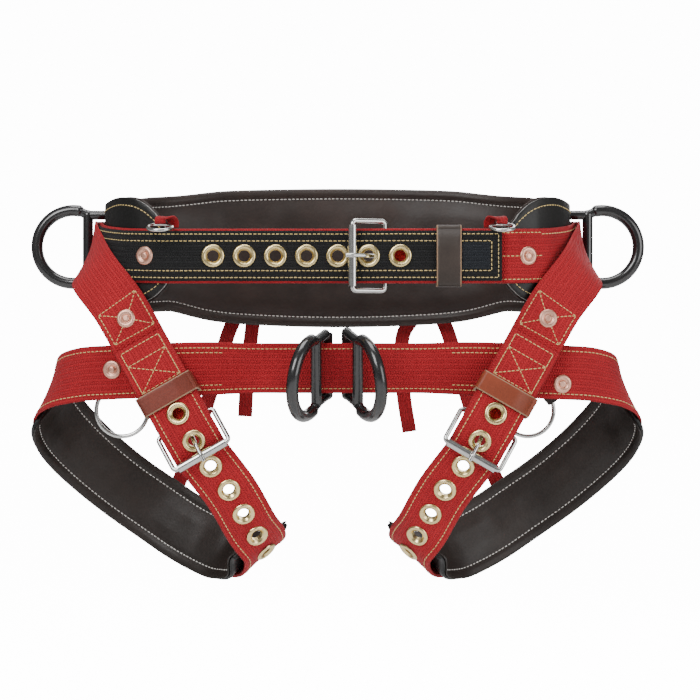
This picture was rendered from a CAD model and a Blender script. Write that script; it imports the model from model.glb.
"""Looks of the tree climbing saddle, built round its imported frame. Metres; -Y is the front, +Z is up."""
import bpy
import random
from math import cos, pi, radians, sin
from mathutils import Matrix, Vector, noise


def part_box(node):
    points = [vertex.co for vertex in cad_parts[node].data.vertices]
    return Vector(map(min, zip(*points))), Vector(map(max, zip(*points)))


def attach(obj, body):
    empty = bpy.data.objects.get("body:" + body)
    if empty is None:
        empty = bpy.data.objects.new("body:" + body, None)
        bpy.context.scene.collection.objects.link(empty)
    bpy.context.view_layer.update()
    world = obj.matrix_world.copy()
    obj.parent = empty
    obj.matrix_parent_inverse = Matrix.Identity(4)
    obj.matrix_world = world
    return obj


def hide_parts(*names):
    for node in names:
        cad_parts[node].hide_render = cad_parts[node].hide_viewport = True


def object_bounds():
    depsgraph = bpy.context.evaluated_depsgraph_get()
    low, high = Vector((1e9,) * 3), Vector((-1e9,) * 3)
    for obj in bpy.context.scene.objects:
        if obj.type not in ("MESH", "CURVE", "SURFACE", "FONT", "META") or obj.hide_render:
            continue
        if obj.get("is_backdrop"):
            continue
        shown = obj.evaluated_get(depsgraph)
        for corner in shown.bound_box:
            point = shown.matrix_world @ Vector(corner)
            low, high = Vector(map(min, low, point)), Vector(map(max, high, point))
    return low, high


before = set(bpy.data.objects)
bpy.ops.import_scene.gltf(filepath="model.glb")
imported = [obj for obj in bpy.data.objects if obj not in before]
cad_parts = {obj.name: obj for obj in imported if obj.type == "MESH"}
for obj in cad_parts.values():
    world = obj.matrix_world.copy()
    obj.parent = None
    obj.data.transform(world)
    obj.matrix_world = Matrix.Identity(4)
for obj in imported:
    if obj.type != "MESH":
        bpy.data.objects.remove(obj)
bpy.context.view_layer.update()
random.seed(5)

MM = 0.001
HARNESS = "harness"
STEPS = 12  # sections between two neighbouring route points

# Sizes of the soft parts, in millimetres
WEB_WIDTH = 44.5
WEB = 2.2
OVERLAY_WIDTH = 41.0
OVERLAY = 2.0
BILLET = 3.4
HANGER = 2.2
LEG_PAD_WIDTH = 59.0
RISER_WIDTH = 13.0
RISER = 1.8
LOOP_WIDTH = 9.0
LOOP = 1.6
STITCH_INSET = 8.5  # white stitching on the pads, from their edges
GROMMET_PITCH = 25.4
GROMMET_FIRST_X = -101.0  # first grommet of the waist billet
GROMMET_FIRST = -8.6  # first grommet of a leg billet, along it from the buckle's far bar
GROMMETS = 7  # in each billet
PUNCHED = 5.5  # radius of the holes under the grommets
BAR_RADIUS = 1.95  # buckle bar that a strap's end turns round
PROUD = 0.05  # stitching over the face of its strap
LEG_INSET = 4.8  # edge stitching of a leg billet
LAP_BOX = (62.0, 8.0)  # cross-stitched box at a leg billet's lap, from its end
WHITE_THICK = 0.55
YELLOW_PITCH = 3.7
TIP_PANEL = 38.0  # square-stitched panel at the waist billet's tip
# One stitch, as (share of its length, width, height) at each ring
STITCH_SHAPE = ((0, 0.45, -0.7), (0.12, 0.9, 0.1), (0.5, 1.0, 0.5), (0.88, 0.9, 0.1), (1, 0.45, -0.7))
SEAM_COLUMNS = (1.0, 2.5, 4.0, 5.5, 7.0, STITCH_INSET, 10.0, 12.0, 15.0, 19.0)  # from a pad's edge

# Routes of the straps, as the CAD model has them, in millimetres
PAD_PLAN = [
    (138.8, -87.6, 4.0, 10.0),
    (141.5, -87.0, 4.0, 23.0),
    (147.5, -85.2, 3.4, 32.0),
    (156.0, -82.0, 3.0, 38.8),
    (167.0, -76.2, 3.2, 44.0),
    (180.0, -63.6, 4.0, 46.0),
    (191.0, -45.0, 3.5, 45.0),
    (197.6, -20.0, 3.0, 43.5),
    (190.0, 10.0, 4.0, 45.5),
    (175.0, 38.0, 6.5, 49.5),
    (150.0, 62.0, 8.6, 51.0),
    (110.0, 80.0, 7.2, 58.0),
    (57.0, 90.0, 6.6, 61.0),
    (0.0, 93.0, 6.4, 62.0),
]
STRAP_FRONT = [(42.2, -87.0, 0.0), (75.0, -87.0, 0.0), (110.0, -87.8, 0.0), (140.0, -89.6, 0.0)]
BELT_ROUND = [
    (4, 1.0, 0.5),
    (5, 2.5, 0.5),
    (6, 5.0, 0.6),
    (7, 8.5, 1.2),
    (8, 12.6, 12.3),
    (9, 11.5, 1.6),
    (10, 8.0, 0.6),
    (11, 6.6, 0.6),
    (12, 6.4, 0.6),
]
BILLET_FRONT = [
    (-140.0, -89.6, 0.0),
    (-110.0, -90.0, 0.0),
    (-60.0, -89.9, 0.0),
    (-10.0, -89.8, 0.0),
    (12.6, -90.3, 0.0),
    (26.0, -91.8, 0.0),
    (42.0, -93.4, 0.0),
    (75.0, -93.6, 0.0),
    (105.0, -93.6, 0.0),
    (134.0, -93.6, 0.0),
]
DEE_ROW = len(STRAP_FRONT) + 2 * len(BELT_ROUND) - 4  # belt row beside the right-hand side D-ring
OVERLAY_ROW = DEE_ROW + 1
LEG_STRAP = [
    (-62.5, -49.0, -238.5, 0.80, 0.00, 0.60),
    (-70.5, -27.0, -249.5, 0.76, 0.00, 0.65),
    (-89.0, -3.0, -249.5, 0.70, 0.00, 0.71),
    (-108.0, 11.0, -243.5, 0.69, 0.00, 0.72),
    (-131.5, 23.5, -232.0, 0.67, 0.00, 0.74),
    (-158.0, 31.5, -215.0, 0.66, 0.00, 0.75),
    (-184.0, 33.0, -197.0, 0.66, 0.00, 0.75),
    (-208.0, 28.5, -177.5, 0.67, 0.05, 0.74),
    (-229.0, 16.0, -156.5, 0.66, 0.15, 0.74),
    (-242.5, -4.0, -137.0, 0.58, 0.32, 0.75),
    (-245.5, -30.0, -118.0, 0.42, 0.40, 0.82),
    (-234.0, -58.0, -103.5, 0.20, 0.20, 0.96),
    (-212.0, -74.0, -97.0, 0.06, 0.06, 1.00),
    (-185.0, -81.0, -95.0, 0.00, 0.00, 1.00),
    (-153.0, -84.0, -93.6, 0.00, 0.00, 1.00),
    (-110.0, -83.0, -92.0, 0.00, -0.18, 0.98),
    (-72.0, -79.0, -91.6, 0.00, -0.37, 0.93),
    (-36.0, -77.0, -91.6, 0.00, -0.37, 0.93),
    (0.0, -76.5, -91.6, 0.00, -0.37, 0.93),
]
LEG_PAD_TO = 10
LAP_TO = 4
LEG_WEB_FROM = 1.5  # route rows past the billet's tip where the leg strap starts
FAR_BAR = Vector((-123.5, -96.0, -136.4))
DOWN = Vector((31.5, -8.0, -54.9)).normalized()
ACROSS = Vector((0.867, 0.0, 0.498)).normalized()
OUT = DOWN.cross(ACROSS).normalized()
BILLET_LEVEL = [(-77.0, 6.4), (-58.0, 6.2), (-38.0, 6.1), (-18.0, 7.0), (0.0, 8.0), (15.0, 4.4), (30.2, -1.7)]
LEG_BILLET_LOW = [(-86.5, -87.0, -193.0, 0.84, 0.00, 0.54), (-70.5, -69.5, -223.5, 0.82, 0.00, 0.57)]
LEG_HANGER = [
    (-208.6, -16.0, 10.5, 0.16, 0.00, 0.99),
    (-208.0, -43.0, 1.0, 0.50, -0.05, 0.86),
    (-200.5, -72.5, -13.0, 0.72, -0.04, 0.69),
    (-178.0, -85.8, -41.5, 0.83, 0.00, 0.56),
    (-155.0, -90.8, -81.5, 0.867, 0.00, 0.498),
    (-139.2, -93.4, -109.0, 0.867, 0.00, 0.498),
]
PINNED = (-172.3, -87.2, -51.3)  # the rivet through the hanger's two plies
RISER_X = 82.0
RISER_ROUTE = [
    (-99.5, 86.5, -62.0),
    (-108.5, 74.0, -95.0),
    (-120.0, 60.5, -134.0),
    (-132.0, 46.0, -172.0),
    (-142.0, 37.2, -197.0),
    (-152.0, 36.0, -214.0),
]
TAIL_ROUTES = {
    "right": [(-79.0, 95.5, -62.0), (-81.5, 96.5, -85.0), (-83.5, 96.5, -110.0), (-84.8, 96.0, -137.0)],
    "left": [(60.0, 96.5, -60.0), (57.5, 97.5, -85.0), (59.5, 97.0, -118.0), (64.6, 96.0, -151.0)],
}
LOOP_ROUTE = [
    (1.0, 5.6, -2.4),
    (1.0, 5.6, 2.0),
    (0.8, 3.4, 5.0),
    (0.4, 0.0, 5.6),
    (0.0, -3.6, 4.2),
    (0.0, -4.6, 0.4),
]


# Straps as sections -------------------------------------------------------------------------------


class Section:
    """One section of a strap: middle, directions along, across and out, half width, run so far."""

    def __init__(self, centre, along, across, half, run=0.0):
        self.centre = centre
        self.along = along
        self.across = (across - along * across.dot(along)).normalized()
        self.out = along.cross(self.across)
        self.half = half
        self.run = run

    def point(self, out=0.0, across=0.0):
        return self.centre + self.out * out + self.across * across


def sections(rows, steps=STEPS):
    """Smooth sections through rows of (x, y, z, across x, across y, across z, half width)."""
    before = [2 * a - b for a, b in zip(rows[0], rows[1])]
    after = [2 * a - b for a, b in zip(rows[-1], rows[-2])]
    padded = [before, *rows, after]
    fine = []
    for i in range(1, len(padded) - 2):
        for k in range(steps):
            t = k / steps
            weights = (
                (-t + 2 * t**2 - t**3) / 2,
                (2 - 5 * t**2 + 3 * t**3) / 2,
                (t + 4 * t**2 - 3 * t**3) / 2,
                (-(t**2) + t**3) / 2,
            )
            near = padded[i - 1 : i + 3]
            fine.append([sum(w * row[c] for w, row in zip(weights, near)) for c in range(len(rows[0]))])
    fine.append(list(rows[-1]))
    centres = [Vector(row[:3]) for row in fine]
    result = []
    run = 0.0
    for i, row in enumerate(fine):
        along = (centres[min(i + 1, len(fine) - 1)] - centres[max(i - 1, 0)]).normalized()
        if i:
            run += (centres[i] - centres[i - 1]).length
        result.append(Section(centres[i], along, Vector(row[3:6]), row[6], run))
    return result


def at_run(strap, run):
    """The section at a distance along the strap."""
    run = min(max(run, strap[0].run), strap[-1].run - 1e-6)
    for a, b in zip(strap, strap[1:]):
        if a.run <= run <= b.run:
            t = (run - a.run) / max(b.run - a.run, 1e-9)
            along = a.along.lerp(b.along, t).normalized()
            half = a.half * (1 - t) + b.half * t
            return Section(a.centre.lerp(b.centre, t), along, a.across.lerp(b.across, t), half, run)
    return strap[-1]


def flipped(strap):
    """The same strap on the other side of the body, running the other way along."""
    result = []
    turn = Vector((-1, 1, 1))
    for s in reversed(strap):
        run = strap[-1].run - s.run
        result.append(Section(s.centre * turn, -(s.along * turn), s.across * turn, s.half, run))
    return result


def run_near(strap, point):
    """Distance along the strap of its section nearest to a point in millimetres."""
    return min(strap, key=lambda s: (s.centre - Vector(point)).length).run


def cut(strap, start, end):
    """The stretch of a strap between two distances along it."""
    inner = [s for s in strap if start + 0.3 < s.run < end - 0.3]
    return [at_run(strap, start), *inner, at_run(strap, end)]


# Meshes -------------------------------------------------------------------------------------------


def finish_piece(name, points, faces, uvs, material, smooth=True):
    """A mesh piece that rides on the harness; points come in millimetres."""
    mesh = bpy.data.meshes.new(name)
    mesh.from_pydata([tuple(p * MM) for p in points], [], faces)
    mesh.validate()
    layer = mesh.uv_layers.new(name="along_across")
    for loop in mesh.loops:
        u, v = uvs[loop.vertex_index]
        layer.data[loop.index].uv = (u * MM, v * MM)
    for polygon in mesh.polygons:
        polygon.use_smooth = smooth
    piece = bpy.data.objects.new(name, mesh)
    bpy.context.scene.collection.objects.link(piece)
    mesh.materials.append(material)
    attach(piece, HARNESS)
    return piece


def webbing_profile(half, thickness, columns=16):
    """Cross-section of webbing: flat faces and round edges, as (across, out) pairs."""
    edge = thickness / 2
    flat = [half - edge - (2 * (half - edge)) * k / columns for k in range(columns + 1)]
    top = [(a, edge) for a in flat]
    left = [(-half + edge - edge * sin(t), edge * cos(t)) for t in (pi / 4, pi / 2, 3 * pi / 4)]
    bottom = [(-a, -edge) for a in flat]
    right = [(half - edge + edge * sin(t), -edge * cos(t)) for t in (pi / 4, pi / 2, 3 * pi / 4)]
    return top + left + bottom + right


def strip(name, strap, thickness, material, level=0.0, half=None, shape=None, profile=None, columns=16):
    """A closed strip of cloth or leather along a strap; shape may move each point out and across."""
    points = []
    uvs = []
    faces = []
    count = 0
    for s in strap:
        reach = half or s.half
        ring = profile(s) if profile else webbing_profile(reach, thickness, columns)
        count = len(ring)
        for across, out in ring:
            lift = shape(s, across, out) if shape else 0.0
            points.append(s.point(level + out + lift, across))
            uvs.append((s.run, across))
    for i in range(len(strap) - 1):
        for k in range(count):
            m = (k + 1) % count
            faces.append((i * count + k, i * count + m, (i + 1) * count + m, (i + 1) * count + k))
    last = (len(strap) - 1) * count
    faces.append(tuple(reversed(range(count))))
    faces.append(tuple(last + k for k in range(count)))
    return finish_piece(name, points, faces, uvs, material)


def stitches(name, paths, material, pitch=3.6, gap=0.7, thick=0.4, sink=0.22):
    """Rows of lockstitch: each path is a list of (point, normal) along one row."""
    points = []
    faces = []
    uvs = []
    sides = 6
    for path in paths:
        run = [0.0]
        for (a, _), (b, _) in zip(path, path[1:]):
            run.append(run[-1] + (b - a).length)
        count = max(1, round(run[-1] / pitch))
        step = run[-1] / count

        def spot(distance):
            for i in range(len(path) - 1):
                if distance <= run[i + 1] or i == len(path) - 2:
                    t = (distance - run[i]) / max(run[i + 1] - run[i], 1e-9)
                    return path[i][0].lerp(path[i + 1][0], t), path[i][1].lerp(path[i + 1][1], t).normalized()
            return path[-1]

        for n in range(count):
            jitter = (random.random() - 0.5) * 0.3
            start = n * step + gap / 2 + jitter
            end = (n + 1) * step - gap / 2 + jitter
            first = len(points)
            for t, size, height in STITCH_SHAPE:
                place, normal = spot(min(max(start + (end - start) * t, 0.0), run[-1]))
                ahead, _ = spot(min(run[-1], start + (end - start) * t + 0.5))
                behind, _ = spot(max(0.0, start + (end - start) * t - 0.5))
                side = (ahead - behind).cross(normal).normalized()
                middle = place + normal * (height * thick - sink * thick)
                for k in range(sides):
                    angle = 2 * pi * k / sides
                    points.append(middle + (side * cos(angle) + normal * sin(angle) * 0.8) * (thick * size))
                    uvs.append((start, k))
            for r in range(len(STITCH_SHAPE) - 1):
                for k in range(sides):
                    m = (k + 1) % sides
                    a, b = first + r * sides, first + (r + 1) * sides
                    faces.append((a + k, b + k, b + m, a + m))
            faces.append(tuple(first + k for k in range(sides)))
            faces.append(tuple(first + (len(STITCH_SHAPE) - 1) * sides + k for k in reversed(range(sides))))
    return finish_piece(name, points, faces, uvs, material)


def punch(piece, places, radius, depth=4.0):
    """Cuts round holes through a piece at sections of its strap."""
    points = []
    faces = []
    sides = 28
    for s in places:
        first = len(points)
        for level in (-depth, depth):
            for k in range(sides):
                angle = 2 * pi * k / sides
                place = s.point(level, radius * sin(angle)) + s.along * (radius * cos(angle))
                points.append(tuple(place * MM))
        for k in range(sides):
            m = (k + 1) % sides
            faces.append((first + m, first + sides + m, first + sides + k, first + k))
        faces.append(tuple(first + k for k in reversed(range(sides))))
        faces.append(tuple(first + sides + k for k in range(sides)))
    mesh = bpy.data.meshes.new("punches")
    mesh.from_pydata(points, [], faces)
    punches = bpy.data.objects.new("punches", mesh)
    bpy.context.scene.collection.objects.link(punches)
    cutter = piece.modifiers.new("holes", "BOOLEAN")
    cutter.object = punches
    cutter.operation = "DIFFERENCE"
    cutter.solver = "EXACT"
    bpy.context.view_layer.update()
    shape = bpy.data.meshes.new_from_object(piece.evaluated_get(bpy.context.evaluated_depsgraph_get()))
    piece.modifiers.remove(cutter)
    piece.data = shape
    bpy.data.objects.remove(punches)


def row_path(strap, across, out, start=None, end=None):
    """A stitch row along a strap, at a distance across it and a height over its middle."""
    piece = strap if start is None else cut(strap, start, end)
    sign = 1 if out >= 0 else -1
    return [(s.point(out, across), s.out * sign) for s in piece]


def line_path(strap, a, b, out, parts=12):
    """A straight stitch row between two (run, across) places on a strap."""
    sign = 1 if out >= 0 else -1
    path = []
    for k in range(parts + 1):
        t = k / parts
        s = at_run(strap, a[0] + (b[0] - a[0]) * t)
        path.append((s.point(out, a[1] + (b[1] - a[1]) * t), s.out * sign))
    return path


def box_paths(strap, run_a, run_b, half, out, crossed=True):
    """Box stitching, with a cross in it."""
    corners = [(run_a, -half), (run_b, -half), (run_b, half), (run_a, half)]
    paths = [line_path(strap, corners[i], corners[(i + 1) % 4], out) for i in range(4)]
    if crossed:
        paths.append(line_path(strap, corners[0], corners[2], out))
        paths.append(line_path(strap, corners[1], corners[3], out))
    return paths


# Materials ----------------------------------------------------------------------------------------


class Nodes:
    """A new material and short ways to add nodes to it."""

    def __init__(self, name, **values):
        self.material = bpy.data.materials.new(name)
        self.material.use_nodes = True
        self.tree = self.material.node_tree
        self.shader = self.tree.nodes["Principled BSDF"]
        for key, value in values.items():
            self.shader.inputs[key.replace("_", " ")].default_value = value

    @classmethod
    def over(cls, material):
        """The same short ways, for a material that is already there."""
        n = cls.__new__(cls)
        n.material = material
        n.tree = material.node_tree
        n.shader = n.tree.nodes["Principled BSDF"]
        return n

    def add(self, kind, inputs=None, **settings):
        node = self.tree.nodes.new(kind)
        for key, value in settings.items():
            setattr(node, key, value)
        for key, value in (inputs or {}).items():
            if hasattr(value, "is_output"):
                self.tree.links.new(value, node.inputs[key])
            else:
                node.inputs[key].default_value = value
        return node

    def math(self, operation, a, b=0.0):
        node = self.add("ShaderNodeMath", {0: a, 1: b}, operation=operation)
        return node.outputs[0]

    def place(self):
        return self.add("ShaderNodeTexCoord").outputs["Object"]

    def uv(self):
        layer = self.add("ShaderNodeUVMap", uv_map="along_across")
        split = self.add("ShaderNodeSeparateXYZ", {0: layer.outputs[0]})
        return split.outputs[0], split.outputs[1]

    def noise(self, scale, detail=3.0, rough=0.55, vector=None):
        inputs = {"Scale": scale, "Detail": detail, "Roughness": rough, "Vector": vector or self.place()}
        return self.add("ShaderNodeTexNoise", inputs).outputs["Fac"]

    def ramp(self, value, stops):
        node = self.add("ShaderNodeValToRGB", {0: value})
        ramp = node.color_ramp
        ramp.elements[0].position, ramp.elements[0].color = stops[0][0], (*stops[0][1], 1)
        ramp.elements[1].position, ramp.elements[1].color = stops[-1][0], (*stops[-1][1], 1)
        for position, colour in stops[1:-1]:
            ramp.elements.new(position).color = (*colour, 1)
        return node.outputs[0]

    def mix(self, factor, a, b, blend="MIX"):
        node = self.add("ShaderNodeMix", data_type="RGBA", blend_type=blend)
        for socket, value in ((node.inputs[0], factor), (node.inputs[6], a), (node.inputs[7], b)):
            if hasattr(value, "is_output"):
                self.tree.links.new(value, socket)
            else:
                socket.default_value = value
        return node.outputs[2]

    def bump(self, height, strength, distance):
        node = self.add("ShaderNodeBump", {"Height": height, "Strength": strength, "Distance": distance})
        self.set("Normal", node.outputs[0])

    def set(self, socket, value):
        self.tree.links.new(value, self.shader.inputs[socket])


def shade(colour, factor):
    return tuple(c * factor for c in colour)


def webbing_material(name, colour, rib=2.1, column=2.4):
    """Plain-woven nylon: ribs across the strap, broken into columns of warp."""
    n = Nodes(name, Roughness=0.68, Sheen_Weight=0.05, Sheen_Roughness=0.5, Specular_IOR_Level=0.22)
    along, across = n.uv()
    ribs = n.math("SINE", n.math("MULTIPLY", along, 2 * pi / (rib * MM)))
    columns = n.math("MULTIPLY", across, pi / (column * MM))
    turns = n.math("MULTIPLY", along, 2 * pi / (rib * MM))
    column_number = n.math("FLOOR", n.math("DIVIDE", across, column * MM))
    shifted = n.math("SINE", n.math("ADD", turns, n.math("MULTIPLY", column_number, pi)))
    warp = n.math("ABSOLUTE", n.math("SINE", columns))
    woven = n.math("ADD", n.math("MULTIPLY", ribs, 0.15), n.math("MULTIPLY", warp, 0.5))
    height = n.math("ADD", n.math("MULTIPLY", shifted, 0.35), woven)
    fuzz = n.noise(1400.0, 2.0)
    height = n.math("ADD", height, n.math("MULTIPLY", fuzz, 0.35))
    stops = [(0.05, shade(colour, 0.35)), (0.5, colour), (1.0, shade(colour, 1.3))]
    base = n.ramp(n.math("MULTIPLY_ADD", height, 0.5), stops)
    wear = n.ramp(n.noise(24.0, 4.0), [(0.35, (0.86, 0.86, 0.86)), (0.7, (1.08, 1.06, 1.06))])
    n.set("Base Color", n.mix(0.85, base, wear, "MULTIPLY"))
    n.bump(height, 0.9, 0.0007)
    return n.material


def leather_material(name, colour, roughness=0.46, grain=520.0, folds=0.4):
    """Oiled leather: pebbled grain, soft creases and rubbed high spots."""
    n = Nodes(name, Specular_IOR_Level=0.36, Coat_Weight=0.05, Coat_Roughness=0.3)
    pebbles = n.add("ShaderNodeTexVoronoi", {"Scale": grain, "Vector": n.place()}, feature="SMOOTH_F1")
    cells = pebbles.outputs["Distance"]
    creases = n.noise(38.0, 6.0, 0.62)
    broad = n.noise(9.0, 3.0)
    base = n.ramp(broad, [(0.3, shade(colour, 0.72)), (0.55, colour), (0.75, shade(colour, 1.35))])
    rubbed = n.ramp(creases, [(0.42, (0.9, 0.9, 0.9)), (0.72, (1.28, 1.2, 1.16))])
    n.set("Base Color", n.mix(0.8, base, rubbed, "MULTIPLY"))
    spread = {"Value": creases, "To Min": roughness - 0.1, "To Max": roughness + 0.16}
    rough = n.add("ShaderNodeMapRange", spread)
    n.set("Roughness", rough.outputs[0])
    height = n.math("ADD", n.math("MULTIPLY", cells, 0.5), n.math("MULTIPLY", creases, folds * 4))
    n.bump(height, 0.35, 0.0006)
    return n.material


def keeper_material(name, colour, half_width):
    """Harness leather with pale cut edges along its two sides."""
    material = leather_material(name, colour, 0.46, 420.0)
    n = Nodes.over(material)
    _, across = n.uv()
    from_middle = n.math("ABSOLUTE", across)
    near, far = (half_width - 1.3) * MM, (half_width - 0.7) * MM
    edge = n.add("ShaderNodeMapRange", {"Value": from_middle, "From Min": near, "From Max": far})
    leather = n.shader.inputs["Base Color"].links[0].from_socket
    n.set("Base Color", n.mix(edge.outputs[0], leather, (0.32, 0.2, 0.12, 1)))
    return material


def thread_material(name, colour):
    """Twisted polyester thread."""
    n = Nodes(name, Roughness=0.5, Sheen_Weight=0.2, Specular_IOR_Level=0.4)
    strands = {"Scale": 700.0, "Distortion": 1.0, "Vector": n.place()}
    twist = n.add("ShaderNodeTexWave", strands, bands_direction="DIAGONAL")
    n.set("Base Color", n.ramp(twist.outputs["Fac"], [(0.0, shade(colour, 0.7)), (1.0, shade(colour, 1.1))]))
    n.bump(twist.outputs["Fac"], 0.4, 0.0001)
    return n.material


def metal_material(name, colour, roughness, scratches=0.12):
    """Bright metal with fine scuffs and a slightly uneven polish."""
    n = Nodes(name, Metallic=1.0)
    scuff = n.noise(160.0, 8.0, 0.7)
    stain = n.noise(30.0, 3.0)
    n.set("Base Color", n.ramp(stain, [(0.3, shade(colour, 0.82)), (0.7, colour)]))
    spread = {"Value": scuff, "From Min": 0.35, "From Max": 0.75}
    spread.update({"To Min": roughness, "To Max": roughness + scratches})
    rough = n.add("ShaderNodeMapRange", spread)
    n.set("Roughness", rough.outputs[0])
    n.bump(scuff, 0.12, 0.0002)
    return n.material


def black_forging_material():
    """Glossy black baked finish over a hot-forged skin."""
    n = Nodes("black_forging", Roughness=0.2, Coat_Weight=0.6, Coat_Roughness=0.08, Specular_IOR_Level=0.55)
    skin = n.noise(60.0, 4.0, 0.6)
    n.set("Base Color", n.ramp(skin, [(0.3, (0.006, 0.006, 0.007)), (0.75, (0.016, 0.015, 0.015))]))
    rough = n.add("ShaderNodeMapRange", {"Value": n.noise(18.0), "To Min": 0.16, "To Max": 0.34})
    n.set("Roughness", rough.outputs[0])
    n.bump(skin, 0.18, 0.0005)
    return n.material


def felt_material(name, colour):
    """The cut edge of the padding between two leathers."""
    n = Nodes(name, Roughness=0.9)
    fibre = n.noise(900.0, 4.0, 0.7)
    n.set("Base Color", n.ramp(fibre, [(0.3, shade(colour, 0.7)), (0.7, shade(colour, 1.15))]))
    n.bump(fibre, 0.6, 0.0004)
    return n.material


RED = (0.33, 0.009, 0.014)
red_webbing = webbing_material("red_webbing", RED)
red_narrow = webbing_material("red_narrow_webbing", shade(RED, 0.95), 1.1, 1.3)
black_webbing = webbing_material("black_webbing", (0.006, 0.006, 0.0065), 1.9, 2.2)
blue_webbing = webbing_material("tip_webbing", (0.009, 0.011, 0.015), 1.9, 2.2)
lining_leather = leather_material("lining_leather", (0.0235, 0.0145, 0.0115))
black_leather = leather_material("black_leather", (0.005, 0.0046, 0.0042))
leg_leather = leather_material("leg_leather", (0.0175, 0.0115, 0.009), 0.48)
keeper_dark = keeper_material("keeper_leather_dark", (0.045, 0.033, 0.027), 10.15)
keeper_red = keeper_material("keeper_leather_red", (0.17, 0.03, 0.016), 8.5)
keeper_orange = keeper_material("keeper_leather_orange", (0.25, 0.048, 0.018), 8.5)
pad_felt = felt_material("padding_edge", (0.3, 0.29, 0.28))
yellow_thread = thread_material("yellow_thread", (0.74, 0.55, 0.22))
white_thread = thread_material("white_thread", (0.72, 0.7, 0.66))
nickel = metal_material("nickel_steel", (0.66, 0.66, 0.64), 0.13)
brass = metal_material("brass", (0.9, 0.72, 0.36), 0.22)
copper = metal_material("copper", (0.82, 0.46, 0.34), 0.34, 0.2)
forging = black_forging_material()


def paint(name, material):
    """Gives a CAD node its material."""
    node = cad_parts[name]
    node.data.materials.clear()
    node.data.materials.append(material)


NICKEL_PAIRS = ("leg_buckle_frame", "leg_roller", "leg_tongue", "leg_ring", "small_ring", "riser_adjuster")


def paint_hardware():
    for side in ("_right", "_left"):
        for name in NICKEL_PAIRS:
            paint(name + side, nickel)
        for name in ("side_dee", "centre_dee"):
            paint(name + side, forging)
        paint("leg_grommets" + side, brass)
        paint("leg_rivets" + side, copper)
        paint("ring_tab" + side, leg_leather)
        paint("riser_tab" + side, black_leather)
    for name in ("waist_buckle_frame", "waist_roller", "waist_tongue"):
        paint(name, nickel)
    paint("waist_grommets", brass)
    paint("waist_rivets", copper)


# Waist belt ---------------------------------------------------------------------------------------


def pad_sections():
    half_plan = [(x, y, z, 0.0, 0.0, 1.0, h) for x, y, z, h in PAD_PLAN]
    other_half = [(-row[0], *row[1:]) for row in reversed(half_plan[:-1])]
    return sections(half_plan + other_half)


def belt_sections(pad):
    side = []
    for row, height, air in BELT_ROUND:
        place = pad[row * STEPS].point(WEB / 2 + air)
        side.append((place.x, place.y, height))
    middle = pad[(len(PAD_PLAN) - 1) * STEPS].point(WEB / 2 + 0.6)
    back = [(0.0, middle.y, 6.4)]
    other_side = [(-x, y, z) for x, y, z in reversed(side)]
    route = STRAP_FRONT + side + back + other_side + BILLET_FRONT
    return sections([(*row, 0.0, 0.0, 1.0, WEB_WIDTH / 2) for row in route])


def creased(s, across, size, depth):
    """Shallow creases and dents, the same each run."""
    place = s.point(0.0, across) / size
    return (noise.noise(place) + 0.5 * noise.noise(place * 2.3 + Vector((7, 3, 1)))) * depth


def folded(s, across, depth):
    """Broad soft folds that run across a bent strap, the same each run."""
    place = Vector((s.run / 26.0, across / 70.0, s.centre.x / 400.0))
    return (noise.noise(place) + 0.35 * noise.noise(place * 2.1 + Vector((3, 9, 2)))) * depth


def past_seam(half, across):
    """0 at a pad's edge and seam, rising to 1 well inside it."""
    inside = max(0.0, half - abs(across) - STITCH_INSET)
    t = min(1.0, inside / 14.0)
    return t * t * (3 - 2 * t)


def pillow_profile(half, outer, inner, edge, crown, groove):
    """Section of a lined pad: flat at outer, crowned past inner, with a rolled edge and a seam."""
    scale = min(1.0, half * 0.8 / SEAM_COLUMNS[-1])
    border = [place * scale for place in SEAM_COLUMNS]
    reach = half - border[-1]
    middle_part = [-reach + 2 * reach * k / 14 for k in range(1, 14)]
    columns = [-half + place for place in border] + middle_part + [half - place for place in reversed(border)]
    ring = [(across, outer) for across in reversed(columns)]
    middle = (outer + inner) / 2
    deep = abs(outer - inner) / 2
    ring += [(-half + 1.0 - 1.6 * sin(t), middle + deep * cos(t)) for t in (pi / 4, pi / 2, 3 * pi / 4)]
    for across in columns:
        from_edge = (half - abs(across)) / scale
        roll = edge * sin(pi * from_edge / STITCH_INSET) if from_edge < STITCH_INSET else 0.0
        seam = groove * max(0.0, 1 - abs(from_edge - STITCH_INSET) / 3.0)
        ring.append((across, inner - roll - crown * past_seam(half, across) + seam))
    ring += [(half - 1.0 + 1.6 * sin(t), middle - deep * cos(t)) for t in (pi / 4, pi / 2, 3 * pi / 4)]
    return ring


def stitch_ring(strap, inset, out):
    """A stitch path round a pad, a distance inside its whole edge."""
    inside = [s for s in strap if s.half > inset + 3.0]
    first, last = inside[0], inside[-1]
    sign = 1 if out >= 0 else -1

    def edge(s, way):
        return (s.point(out, way * (s.half - inset * (1.35 if s in (first, last) else 1.0))), s.out * sign)

    upper = [edge(s, 1) for s in inside]
    lower = [edge(s, -1) for s in reversed(inside)]
    return upper + lower + [upper[0]]


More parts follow.
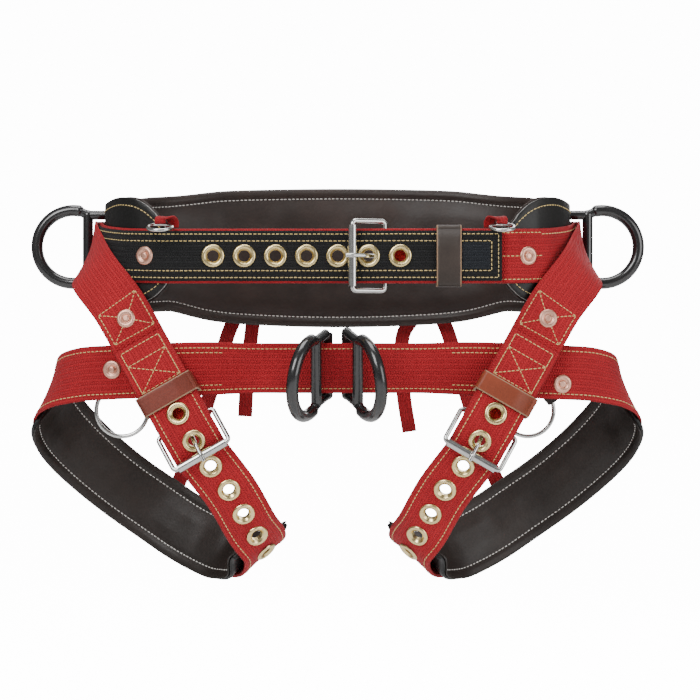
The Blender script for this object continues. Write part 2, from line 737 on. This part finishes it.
def waist_pad(pad):
    """The belt's padded back: leather lining, padding and outer leather."""

    def lining_ring(s):
        return pillow_profile(s.half, -7.3, -8.9, 1.3, 2.2 * min(1.0, s.half / 30), 0.8)

    lining = strip("waist_lining_leather", pad, 0, lining_leather, profile=lining_ring,
                   shape=lambda s, a, o: creased(s, a, 26.0, 0.9) * (past_seam(s.half, a) if o < -8.0 else 0))
    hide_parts("waist_lining")
    padding = strip("waist_padding", pad, 5.3, pad_felt, level=-4.6,
                    profile=lambda s: webbing_profile(s.half - 0.6, 5.2, 20))
    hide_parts("waist_foam")
    cover = strip("waist_cover_leather", pad, 1.8, black_leather, level=-0.95,
                  profile=lambda s: webbing_profile(s.half, 1.8, 30),
                  shape=lambda s, a, o: creased(s, a, 30.0, 0.12))
    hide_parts("waist_cover")
    ring = stitch_ring(pad, STITCH_INSET, -8.15)
    white = stitches("waist_lining_stitching", [ring], white_thread, thick=WHITE_THICK)
    yellow = stitches("waist_cover_stitching", [stitch_ring(pad, 6.5, PROUD)], yellow_thread)


def turned_end(name, bar, away, across, thickness, bar_radius, material, tail=9.0):
    """A strap's end turned round a bar, in two halves with the tongue's slot between them."""
    out = away.cross(across).normalized()
    radius = bar_radius + 0.25 + thickness / 2
    slot_half = 4.3
    width = (WEB_WIDTH / 2 - slot_half) / 2
    rows = []
    for a in (tail, tail * 0.5):
        rows.append(bar + away * a - out * (radius * 0.75))
    for k in range(9):
        angle = radians(-70 - 40 * k * 220 / 320)
        rows.append(bar + away * (radius * cos(angle)) + out * (radius * sin(angle)))
    for a in (tail * 0.5, tail):
        rows.append(bar + away * a + out * (radius * 0.75))
    for number, way in enumerate((-1, 1)):
        shift = across * (way * (slot_half + width))
        route = sections([(*tuple(p + shift), *tuple(across), width) for p in rows], 4)
        turn = strip(f"{name}_{number + 1}", route, thickness, material, columns=8)


def waist_belt(pad):
    belt = belt_sections(pad)
    total = belt[-1].run
    overlay_run = belt[OVERLAY_ROW * STEPS].run
    web = strip("waist_webbing", belt, WEB, red_webbing)
    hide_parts("belt_webbing")
    level = WEB / 2 + 0.1 + OVERLAY / 2
    half = OVERLAY_WIDTH / 2
    faced = cut(belt, overlay_run, total)
    overlay = strip("waist_billet_overlay", faced, OVERLAY, black_webbing, level, half)
    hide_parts("billet_overlay")
    fitted = [s for s in belt if s.run > overlay_run]
    holes = []
    for i in range(GROMMETS):
        x = GROMMET_FIRST_X + GROMMET_PITCH * i
        holes.append((min(fitted, key=lambda s: abs(s.centre.x - x)), x))
    for s, x in holes:
        s.centre = s.centre + s.along * (x - s.centre.x)
    holes = [s for s, _ in holes]
    punch(web, holes, PUNCHED)
    punch(overlay, holes, PUNCHED)
    tip = cut(belt, total - TIP_PANEL, total - 9.5)
    panel = strip("waist_billet_tip", tip, 0.5, blue_webbing, level + OVERLAY / 2 + 0.1, 11.0)
    top = level + OVERLAY / 2 + PROUD
    rows = []
    for inset in (2.8, 8.4):
        for way in (-1, 1):
            rows.append(row_path(belt, way * (half - inset), top, overlay_run + 2, total - inset))
        rows.append(line_path(belt, (total - inset, -half + inset), (total - inset, half - inset), top))
    stitches("waist_billet_stitching", rows, yellow_thread, pitch=YELLOW_PITCH)
    strap_end = run_near(belt, (168, -76, 1))
    face = WEB / 2 + PROUD
    past_tip = run_near(belt, (123, -88, 0))
    edge = WEB_WIDTH / 2 - 3.2
    rows = [row_path(belt, across, face, 8.0, strap_end) for across in (-edge, edge)]
    rows.append(row_path(belt, 0.0, face, past_tip, strap_end))
    edge = WEB_WIDTH / 2 - 4.5
    rows += [row_path(belt, across, face, strap_end, overlay_run) for across in (-edge, edge)]
    stitches("waist_webbing_stitching", rows, yellow_thread, pitch=YELLOW_PITCH)
    bar = Vector((39.0, -87.0, 0.0))
    right, up = Vector((1, 0, 0)), Vector((0, 0, 1))
    turned_end("waist_webbing_turn", bar, right, up, WEB, BAR_RADIUS, red_webbing)
    return belt


# Legs ---------------------------------------------------------------------------------------------


def leg_point(along, out):
    return FAR_BAR + DOWN * along + OUT * out


def leg_strap_sections():
    half = [(*row, WEB_WIDTH / 2) for row in LEG_STRAP]
    other = [(-r[0], r[1], r[2], -r[3], r[4], r[5], r[6]) for r in reversed(half[:-1])]
    return sections(half + other)


def leg_billet_sections(strap):
    lift = WEB / 2 + 1.0 + BILLET / 2
    half = WEB_WIDTH / 2
    rows = [(*tuple(leg_point(a, o)), *tuple(ACROSS), half) for a, o in BILLET_LEVEL]
    rows += [(*row, half) for row in LEG_BILLET_LOW]
    for s in strap[: LAP_TO * STEPS + 1 : STEPS]:
        rows.append((*tuple(s.point(lift)), *tuple(s.across), half))
    return sections(rows)


def leg_hanger_sections(belt):
    at_dee = DEE_ROW * STEPS
    per_step = STEPS // 4
    rows = []
    for step, air in ((-6, 0.9), (-4, 1.0), (-3, 1.0), (-2, 1.0), (-1, 0.9), (0, 0.8), (1, 1.0)):
        beside = belt[at_dee + step * per_step]
        rows.append((*tuple(beside.point(WEB + air)), *tuple(beside.across), WEB_WIDTH / 2))
    rows += [(*row, WEB_WIDTH / 2) for row in LEG_HANGER]
    rows.append((*tuple(leg_point(-3.2, 0.0)), *tuple(ACROSS), WEB_WIDTH / 2))
    return sections(rows)


def both(strap):
    """Name ending, strap and side (1 or -1) for the wearer's right and left."""
    return (("_right", strap, 1), ("_left", flipped(strap), -1))


def leg_pads(strap):
    pad = strap[: LEG_PAD_TO * STEPS + 1]
    half = LEG_PAD_WIDTH / 2
    for side, sections_, way in both(pad):

        def lining_ring(s):
            return pillow_profile(half, -4.9, -6.2, 0.5, 1.2, 0.6)

        lining = strip("leg_lining_leather" + side, sections_, 0, leg_leather, profile=lining_ring,
                       shape=lambda s, a, o: folded(s, a, 1.7) * (past_seam(half, a) if o < -5.5 else 0))
        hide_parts("leg_lining" + side)
        padding = strip("leg_padding" + side, sections_, 3.5, black_leather, level=-3.05,
                        profile=lambda s: webbing_profile(half - 0.5, 3.5, 12))
        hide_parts("leg_foam" + side)
        flat = [Section(s.centre, s.along, s.across, half, s.run) for s in sections_]
        paths = [stitch_ring(cut(flat, 7.0, flat[-1].run - 7.0), STITCH_INSET, -5.55)]
        white = stitches("leg_lining_stitching" + side, paths, white_thread, thick=WHITE_THICK)


def leg_straps(belt):
    strap = leg_strap_sections()
    leg_pads(strap)
    total = strap[-1].run
    start = strap[int(LEG_WEB_FROM * STEPS)].run
    web = strip("leg_webbing", cut(strap, start, total - start), WEB, red_webbing)
    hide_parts("leg_strap")
    hip = strap[LEG_PAD_TO * STEPS].run
    face = WEB / 2 + PROUD
    near = run_near(strap, (-150, -84, -93))
    far = run_near(strap, (-95, -82, -92))
    rows = []
    for way in (-1, 1):
        rows.append(row_path(strap, way * (WEB_WIDTH / 2 - 4.6), face, start + 3, total - start - 3))
        rows.append(row_path(strap, way * (WEB_WIDTH / 2 - 8.6), face, near, far))
        rows.append(row_path(strap, way * (WEB_WIDTH / 2 - 8.6), face, total - far, total - near))
    for end in (hip - 12.0, total - hip + 12.0):
        rows.append(line_path(strap, (end, -WEB_WIDTH / 2 + 4.6), (end, WEB_WIDTH / 2 - 4.6), face))
    stitches("leg_webbing_stitching", rows, yellow_thread, pitch=YELLOW_PITCH)

    billet = leg_billet_sections(strap)
    for side, part, way in both(billet):
        piece = strip("leg_billet_webbing" + side, part, BILLET, red_webbing)
        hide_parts("leg_billet" + side)
        length = part[-1].run
        top = BILLET / 2 + PROUD
        at_bar = billet[4 * STEPS].run
        marks = [at_bar + GROMMET_FIRST + GROMMET_PITCH * i for i in range(GROMMETS)]
        punch(piece, [at_run(part, mark if way == 1 else length - mark) for mark in marks], PUNCHED)

        def from_tip(run):
            return run if way == 1 else length - run

        sewn = WEB_WIDTH / 2 - LEG_INSET
        ends = sorted((from_tip(4.0), from_tip(length - 4.0)))
        rows = [row_path(part, edge * sewn, top, *ends) for edge in (-1, 1)]
        rows += box_paths(part, from_tip(3.0), from_tip(15.0), sewn, top, crossed=False)
        rows += box_paths(part, from_tip(15.0), from_tip(40.0), sewn, top)
        lap = [from_tip(length - place) for place in LAP_BOX]
        rows += box_paths(part, *lap, sewn, top)
        yellow = stitches("leg_billet_stitching" + side, rows, yellow_thread, pitch=YELLOW_PITCH)

    hanger = leg_hanger_sections(belt)
    pinned = run_near(hanger, PINNED)
    for side, part, way in both(hanger):
        piece = strip("leg_hanger_webbing" + side, part, HANGER, red_webbing)
        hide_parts("leg_hanger" + side)
        length = part[-1].run
        middle = pinned if way == 1 else length - pinned
        under = (middle - 23, length - 2) if way == 1 else (2, middle + 23)
        back = strip("leg_hanger_second_ply" + side, cut(part, *under), HANGER, red_webbing, -HANGER - 0.15)
        rows = box_paths(part, middle - 15, middle + 15, WEB_WIDTH / 2 - 4.0, HANGER / 2 + PROUD)
        stitches("leg_hanger_stitching" + side, rows, yellow_thread, pitch=3.4)
        mirror = Vector((way, 1, 1))
        bar, away, across = FAR_BAR * mirror, -(DOWN * mirror), ACROSS * mirror
        turned_end("leg_hanger_turn" + side, bar, away, across, HANGER, BAR_RADIUS, red_webbing)


def keeper(name, node, middle, along, out, size, thickness, material):
    """A leather keeper loop closed round the plies: size is its width, height and depth inside."""
    width, tall, deep = size
    across = out.cross(along)
    radius = 2.6
    half_tall, half_deep = tall / 2 + thickness / 2, deep / 2 + thickness / 2
    path = []
    for turn, (way_out, way_across) in enumerate(((1, 1), (-1, 1), (-1, -1), (1, -1))):
        corner = middle + out * (way_out * (half_deep - radius))
        corner = corner + across * (way_across * (half_tall - radius))
        for k in range(5):
            angle = radians(90 * turn + 22.5 * k)
            path.append(corner + out * (radius * cos(angle)) + across * (radius * sin(angle)))
    path.append(path[0])
    rows = [(*tuple(p), *tuple(along), width / 2) for p in path]
    band = strip(name, sections(rows, 3), thickness, material, columns=10)
    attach(band, node)
    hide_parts(node)


def keepers():
    """The three keepers; each rides on the body that slides along its strap."""
    back, front = -85.4, -97.6
    middle = Vector((91.0, (back + front) / 2, 0))
    size = (20.3, 46.0, back - front)
    along, out = Vector((1, 0, 0)), Vector((0, -1, 0))
    keeper("waist_keeper_leather", "waist_keeper", middle, along, out, size, 2.2, keeper_dark)
    for side, way, material in (("_right", 1, keeper_red), ("_left", -1, keeper_orange)):
        mirror = Vector((way, 1, 1))
        middle = leg_point(-27.0, 3.0) * mirror
        size = (17.0, 46.0, 13.6)
        name, node = "leg_keeper_leather" + side, "leg_keeper" + side
        keeper(name, node, middle, DOWN * mirror, OUT * mirror, size, 1.8, material)


# Risers and small loops ---------------------------------------------------------------------------


def risers(belt):
    mark = [s for s in belt[len(belt) // 3 : DEE_ROW * STEPS] if s.centre.x <= -RISER_X][0]
    axis = mark.along
    for side, way in (("_right", 1), ("_left", -1)):
        low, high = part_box("riser_adjuster" + side)
        wire = 2.6
        below = Vector(((low[0] + high[0]) / 2, (low[1] + high[1]) / 2, low[2]))
        bottom = below / MM + Vector((0, 0, wire / 2))
        strap_axis = Vector((axis.x, axis.y * way, axis.z)) if way == -1 else axis
        apart = strap_axis * ((RISER_WIDTH + 1.0) / 2) * way
        reach = wire / 2 + 0.2 + RISER / 2
        route = [(x * way, y, z) for x, y, z in RISER_ROUTE]
        tail = TAIL_ROUTES[side[1:]]
        for kind, hold, rows in (("strap", bottom + apart, route), ("tail", bottom - apart, tail)):
            first = hold - Vector((0, 0, reach))
            full = [(*row, *tuple(strap_axis), RISER_WIDTH / 2) for row in [tuple(first), *rows]]
            line = sections(full)
            piece = strip(f"riser_{kind}_webbing{side}", line, RISER, red_narrow, columns=6)
            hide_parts(f"riser_{kind}{side}")
            ring = []
            for k in range(13):
                angle = radians(30 * k - 90)
                place = hold + line[0].out * (reach * cos(angle))
                ring.append(place + Vector((0, 0, 1)) * (reach * sin(angle)))
            eye = sections([(*tuple(p), *tuple(strap_axis), RISER_WIDTH / 2) for p in ring], 3)
            strip(f"riser_{kind}_turn{side}", eye, RISER, red_narrow, columns=6)


def small_loops():
    for side, way in (("_right", 1), ("_left", -1)):
        low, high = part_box("small_ring" + side)
        centre = (Vector(low) + Vector(high)) / 2 / MM
        lean = radians(18.0)
        held = centre + Vector((0, cos(lean), sin(lean))) * 9.8
        rows = []
        for share, y, z in LOOP_ROUTE:
            rows.append((held.x + share * 9.6 * way, held.y + y, held.z + z, 1.0, 0.0, 0.0, LOOP_WIDTH / 2))
        piece = strip("small_loop_webbing" + side, sections(rows, 6), LOOP, red_narrow, columns=6)
        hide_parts("small_loop" + side)


# Studio -------------------------------------------------------------------------------------------


BACKDROP = 14.0  # brightness of the white that the camera sees
AMBIENT = 0.32
FLOOR_DROP = 0.25
FLOOR_HALF = 14.0
LENS, SENSOR = 101.6, 36.0
CAMERA_PLACE = (0.0106, -1.7, -0.0766)


def studio():
    low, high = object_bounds()
    mesh = bpy.data.meshes.new("floor")
    drop = low[2] - FLOOR_DROP
    corners = [(x * FLOOR_HALF, y * FLOOR_HALF, drop) for x, y in ((-1, -1), (1, -1), (1, 1), (-1, 1))]
    mesh.from_pydata(corners, [], [(0, 1, 2, 3)])
    floor = bpy.data.objects.new("floor", mesh)
    bpy.context.scene.collection.objects.link(floor)
    n = Nodes("pale_floor", Roughness=0.95)
    n.set("Base Color", n.ramp(n.noise(0.8), [(0.0, (0.9, 0.9, 0.9)), (1.0, (0.93, 0.93, 0.93))]))
    seen = n.add("ShaderNodeLightPath").outputs["Is Camera Ray"]
    n.set("Emission Strength", n.math("MULTIPLY", seen, BACKDROP))
    n.shader.inputs["Emission Color"].default_value = (1, 1, 1, 1)
    mesh.materials.append(n.material)
    floor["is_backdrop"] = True

    world = bpy.data.worlds.new("studio")
    bpy.context.scene.world = world
    world.use_nodes = True
    nodes, links = world.node_tree.nodes, world.node_tree.links
    backdrop = nodes["Background"]
    backdrop.inputs[0].default_value = (1, 1, 1, 1)
    backdrop.inputs[1].default_value = BACKDROP
    ambient = nodes.new("ShaderNodeBackground")
    ambient.inputs[1].default_value = AMBIENT
    seen = nodes.new("ShaderNodeLightPath")
    choice = nodes.new("ShaderNodeMixShader")
    links.new(seen.outputs["Is Camera Ray"], choice.inputs[0])
    links.new(ambient.outputs[0], choice.inputs[1])
    links.new(backdrop.outputs[0], choice.inputs[2])
    links.new(choice.outputs[0], nodes["World Output"].inputs[0])

    middle = (Vector(low) + Vector(high)) / 2
    lights = [
        ("key", (-0.8, -1.4, 1.0), 0.9, 24.0),
        ("fill", (1.3, -1.0, 0.3), 1.0, 12.0),
        ("top", (0.0, -0.1, 1.6), 1.0, 18.0),
        ("back", (0.4, 1.4, 0.8), 1.2, 16.0),
    ]
    for name, place, width, power in lights:
        light = bpy.data.lights.new(name, "AREA")
        light.size = width
        light.energy = power
        lamp = bpy.data.objects.new(name, light)
        lamp.location = middle + Vector(place)
        lamp.rotation_euler = (middle - lamp.location).to_track_quat("-Z", "Y").to_euler()
        bpy.context.scene.collection.objects.link(lamp)

    camera_data = bpy.data.cameras.new("camera")
    camera_data.lens = LENS
    camera_data.sensor_width = SENSOR
    camera_data.clip_end = 60.0
    camera = bpy.data.objects.new("camera", camera_data)
    camera.location = CAMERA_PLACE
    camera.rotation_euler = (pi / 2, 0, 0)
    bpy.context.scene.collection.objects.link(camera)
    bpy.context.scene.camera = camera


studio()
paint_hardware()
pad = pad_sections()
waist_pad(pad)
belt = waist_belt(pad)
leg_straps(belt)
keepers()
risers(belt)
small_loops()
